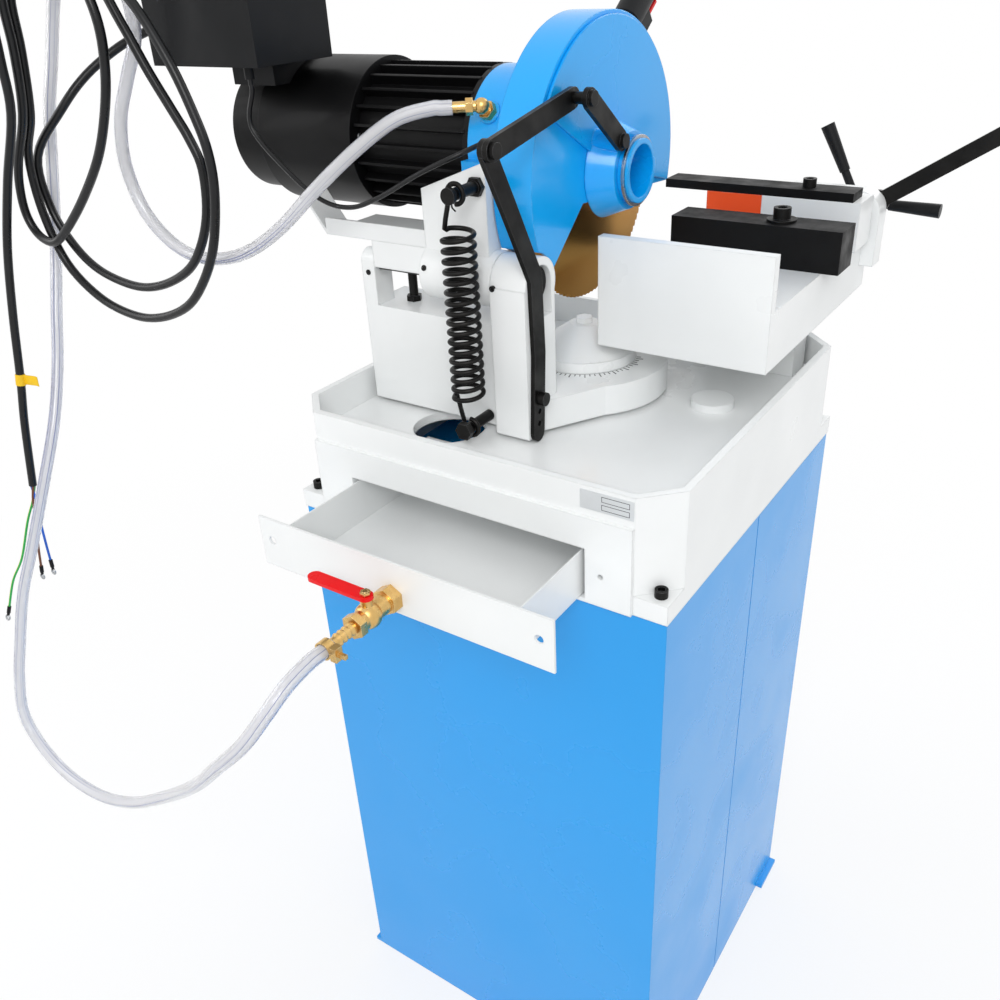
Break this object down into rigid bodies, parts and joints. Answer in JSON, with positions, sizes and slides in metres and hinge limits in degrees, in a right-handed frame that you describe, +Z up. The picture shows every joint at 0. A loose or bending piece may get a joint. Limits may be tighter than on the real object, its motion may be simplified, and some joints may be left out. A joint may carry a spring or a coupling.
{
  "type": "cold saw",
  "caption": "Manual cold saw on a cabinet stand, with a tilting motor head and round blade, swivel base, chip tray with pull-out drawer, coolant hose and screw vise.",
  "frame": {"origin": "on the floor, at the middle of the four anchor holes of the stand", "axes": "+X to the right along the drawer face, +Y from the drawer towards the operator's side, +Z up"},
  "size_m": [1.0948, 0.9198, 1.3681],
  "materials": {
    "blue_paint": "gloss",
    "white_paint": "satin",
    "black_steel": "satin",
    "bright_steel": "brushed",
    "label_foil": "satin",
    "brass_fittings": "satin",
    "red_sleeve": "gloss",
    "green_cap": "gloss",
    "blade_coat": "satin",
    "motor_paint": "satin",
    "black_plastic": "matte",
    "orange_liner": "satin",
    "cable_jacket": "satin",
    "clear_hose": "gloss"
  },
  "bodies": {
    "base": {"stand_rear": "blue_paint", "stand_front": "blue_paint", "base_tray": "white_paint", "tray_screws": "black_steel", "data_plate": "label_foil", "swivel_post": "bright_steel", "swivel_cap": "white_paint", "vise_bed": "white_paint", "fixed_jaw": "black_steel", "fixed_jaw_screw": "black_steel"},
    "door": {"stand_door": "blue_paint"},
    "latch": {"door_latch": "black_steel"},
    "drawer_unit": {"drawer": "white_paint", "drain_valve": "brass_fittings", "hose_clamp": "brass_fittings", "hose_low": "clear_hose"},
    "valve_handle": {"valve_lever": "red_sleeve"},
    "slide_unit": {"vise_slide": "white_paint", "moving_jaw": "black_steel", "moving_jaw_screw": "black_steel", "jaw_liner": "orange_liner"},
    "screw_unit": {"lead_screw": "bright_steel", "crank": "black_steel"},
    "clamp_handle": {"clamp_lever": "black_steel"},
    "arm_unit": {"swivel_arm": "white_paint", "pivot_shaft": "black_steel", "stop_screw": "black_steel", "arm_bolts": "black_steel", "guard_strap": "black_steel"},
    "lock_handle": {"swivel_lock": "black_steel"},
    "head_unit": {"rocker": "white_paint", "spring_pin": "black_steel", "return_spring": "black_steel", "motor_shelf": "white_paint", "head_case": "blue_paint", "retaining_ring": "bright_steel", "spindle_bearings": "bright_steel", "coolant_fitting": "brass_fittings", "head_handle": "bright_steel", "handle_grip": "black_plastic", "motor_body": "motor_paint", "fan_cowl": "motor_paint", "control_box": "motor_paint", "cable_gland": "black_plastic", "hose_hook": "bright_steel", "hose_high": "clear_hose", "cable_coil": "cable_jacket", "cable_tail": "cable_jacket", "switch_cable": "cable_jacket"},
    "trigger_unit": {"trigger": "red_sleeve"},
    "start_unit": {"start_button": "green_cap"},
    "stop_unit": {"stop_button": "red_sleeve"},
    "blade_unit": {"spindle": "bright_steel", "saw_blade": "blade_coat", "blade_flange": "bright_steel"},
    "rotor_unit": {"rotor": "bright_steel", "cooling_fan": "black_plastic"},
    "guard_unit": {"moving_guard": "blue_paint", "guard_lever": "black_steel"},
    "link_unit": {"guard_link": "black_steel"}
  },
  "joints": [
    {"name": "stand_door", "type": "hinge", "parent": "base", "child": "door", "pos_m": [-0.184, 0.2334, 0.38], "axis": [0, 0, 1], "range_deg": [0, 110]},
    {"name": "door_latch", "type": "hinge", "parent": "door", "child": "latch", "pos_m": [0.1424, 0.23, 0.38], "axis": [0, 1, 0], "range_deg": [0, 90]},
    {"name": "drawer_slide", "type": "slide", "parent": "base", "child": "drawer_unit", "axis": [0, -1, 0], "range_m": [-0.1035, 0.06], "deforming": ["hose_low"]},
    {"name": "valve_lever", "type": "hinge", "parent": "drawer_unit", "child": "valve_handle", "pos_m": [-0.004, -0.3745, 0.82], "axis": [0, 0, 1], "range_deg": [0, 90]},
    {"name": "vise_slide", "type": "slide", "parent": "base", "child": "slide_unit", "axis": [0, -1, 0], "range_m": [-0.009, 0.0365]},
    {"name": "vise_screw", "type": "hinge", "parent": "slide_unit", "child": "screw_unit", "pos_m": [0.182, 0.386, 1.024], "axis": [0, -1, 0], "range_deg": [-576, 2592]},
    {"name": "clamp_lever", "type": "hinge", "parent": "base", "child": "clamp_handle", "pos_m": [0.221, 0.333, 1.0384], "axis": [0, -1, 0], "range_deg": [-35, 40]},
    {"name": "arm_swivel", "type": "hinge", "parent": "base", "child": "arm_unit", "pos_m": [-0.0135, 0.04, 0.888], "axis": [0, 0, 1], "range_deg": [0, 40], "deforming": ["hose_low"]},
    {"name": "swivel_lock", "type": "hinge", "parent": "arm_unit", "child": "lock_handle", "pos_m": [-0.0135, 0.15, 0.8884], "axis": [0, 1, 0], "range_deg": [-60, 0]},
    {"name": "head_tilt", "type": "hinge", "parent": "arm_unit", "child": "head_unit", "pos_m": [-0.07, -0.094, 1.03], "axis": [1, 0, 0], "range_deg": [0, 50], "deforming": ["return_spring", "hose_low"]},
    {"name": "trigger", "type": "hinge", "parent": "head_unit", "child": "trigger_unit", "pos_m": [-0.0575, 0.25285, 1.23821], "axis": [1, 0, 0], "range_deg": [0, 10], "stiffness_Nm_per_rad": 0.4},
    {"name": "start_button", "type": "slide", "parent": "head_unit", "child": "start_unit", "axis": [0, -1, 0], "range_m": [0, 0.004], "stiffness_N_per_m": 300},
    {"name": "stop_button", "type": "slide", "parent": "head_unit", "child": "stop_unit", "axis": [0, -1, 0], "range_m": [0, 0.004], "stiffness_N_per_m": 300},
    {"name": "blade_spin", "type": "hinge", "parent": "head_unit", "child": "blade_unit", "pos_m": [-0.0135, 0.052, 1.114], "axis": [1, 0, 0], "continuous": true},
    {"name": "rotor_spin", "type": "hinge", "parent": "head_unit", "child": "rotor_unit", "pos_m": [-0.15, 0.00005, 1.14596], "axis": [1, 0, 0], "continuous": true},
    {"name": "moving_guard", "type": "hinge", "parent": "head_unit", "child": "guard_unit", "pos_m": [0.02, 0.052, 1.114], "axis": [1, 0, 0], "range_deg": [-70, 0]},
    {"name": "guard_link", "type": "hinge", "parent": "arm_unit", "child": "link_unit", "pos_m": [0.021, -0.18005, 1.17205], "axis": [1, 0, 0], "range_deg": [0, 62]}
  ],
  "couplings": [
    {"joint": "rotor_spin", "follows": "blade_spin", "ratio": -3.6923},
    {"joint": "moving_guard", "follows": "head_tilt", "ratio": -1.35},
    {"joint": "guard_link", "follows": "head_tilt", "ratio": 1.18},
    {"joint": "vise_slide", "follows": "vise_screw", "m_per_rad": 0.00079577}
  ]
}
